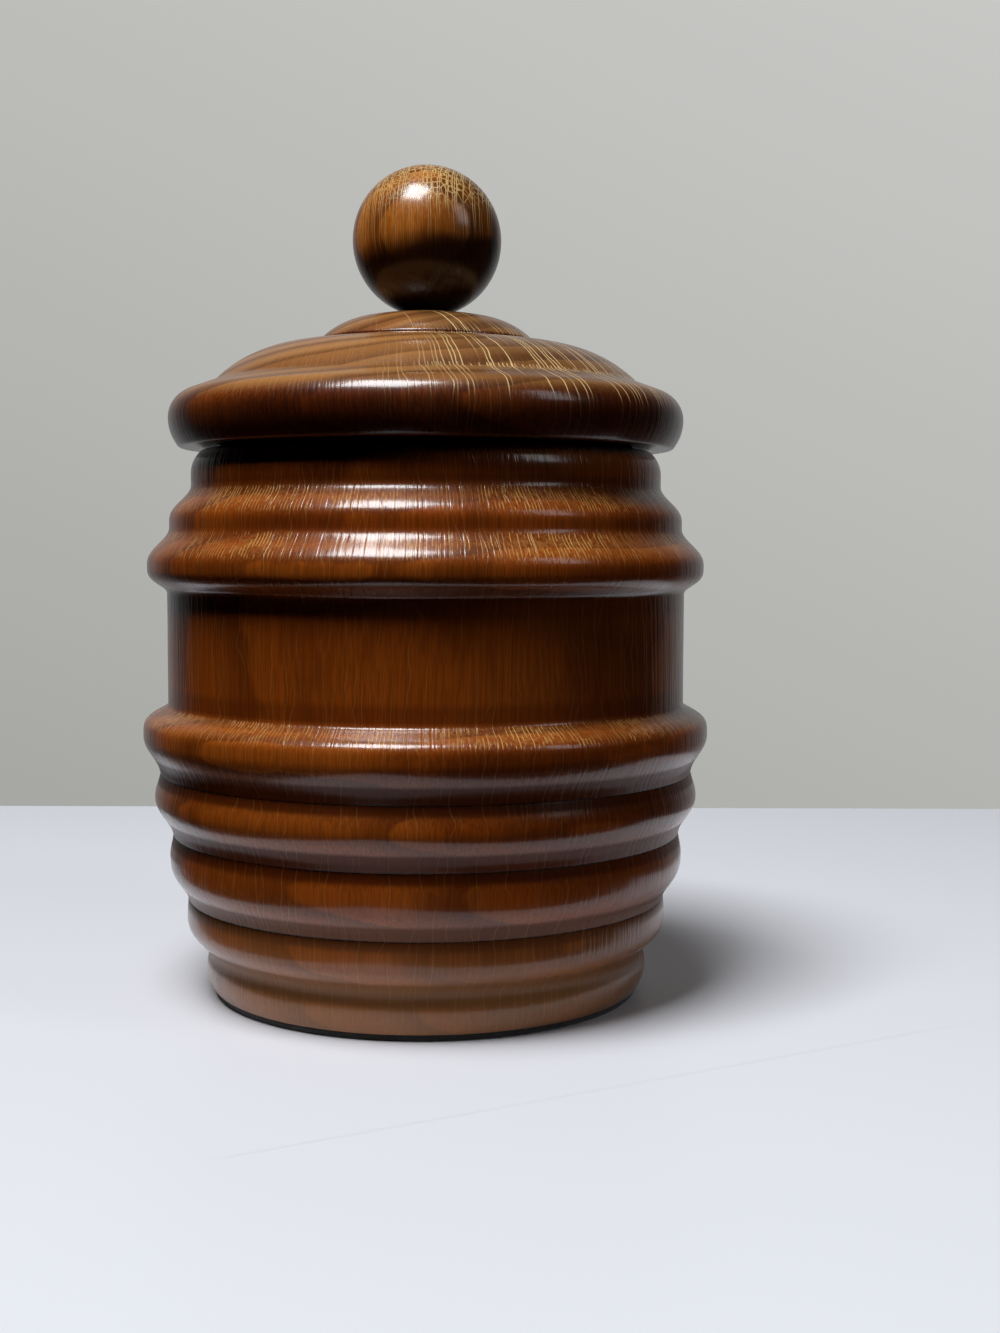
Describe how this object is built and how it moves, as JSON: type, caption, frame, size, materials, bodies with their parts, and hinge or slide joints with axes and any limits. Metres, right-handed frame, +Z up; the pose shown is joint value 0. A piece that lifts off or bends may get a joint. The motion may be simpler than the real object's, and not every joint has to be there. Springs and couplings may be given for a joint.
{
  "type": "tobacco jar",
  "caption": "Turned oak barrel-shaped tobacco jar with a ribbed body, plain band, overhanging domed lid with a ball knob, lift-out glazed liner and a humidifier under the lid.",
  "frame": {"origin": "centre of the felt's underside, on the surface that the jar stands on", "axes": "+Z up along the turning axis from the foot to the knob; the jar is round, so +X and +Y are any two level directions at right angles"},
  "size_m": [0.134, 0.134, 0.1951],
  "materials": {
    "oak": "dark brown stain under gloss lacquer, pale rays and pores showing",
    "felt": "black pressed felt",
    "glaze": "cream gloss glaze",
    "cork": "pressed cork, unfinished",
    "brass": "satin, lightly tarnished",
    "clay": "unglazed, matt"
  },
  "bodies": {
    "jar": {"jar_body": "oak", "base_felt": "felt"},
    "liner": {"liner": "glaze"},
    "lid_seal": {"lid_seal": "cork"},
    "lid": {"lid": "oak", "knob": "oak", "humidifier_cap": "brass", "humidifier_pad": "clay", "humidifier_screw_1": "brass", "humidifier_screw_2": "brass", "humidifier_screw_3": "brass"}
  },
  "joints": [
    {"name": "liner_lift", "type": "slide", "parent": "jar", "child": "liner", "axis": [0, 0, 1], "range_m": [0, 0.13]},
    {"name": "lid_turn", "type": "hinge", "parent": "liner", "child": "lid_seal", "pos_m": [0, 0, 0.1277], "axis": [0, 0, 1], "continuous": true},
    {"name": "lid_lift", "type": "slide", "parent": "lid_seal", "child": "lid", "axis": [0, 0, 1], "range_m": [0, 0.12]}
  ]
}
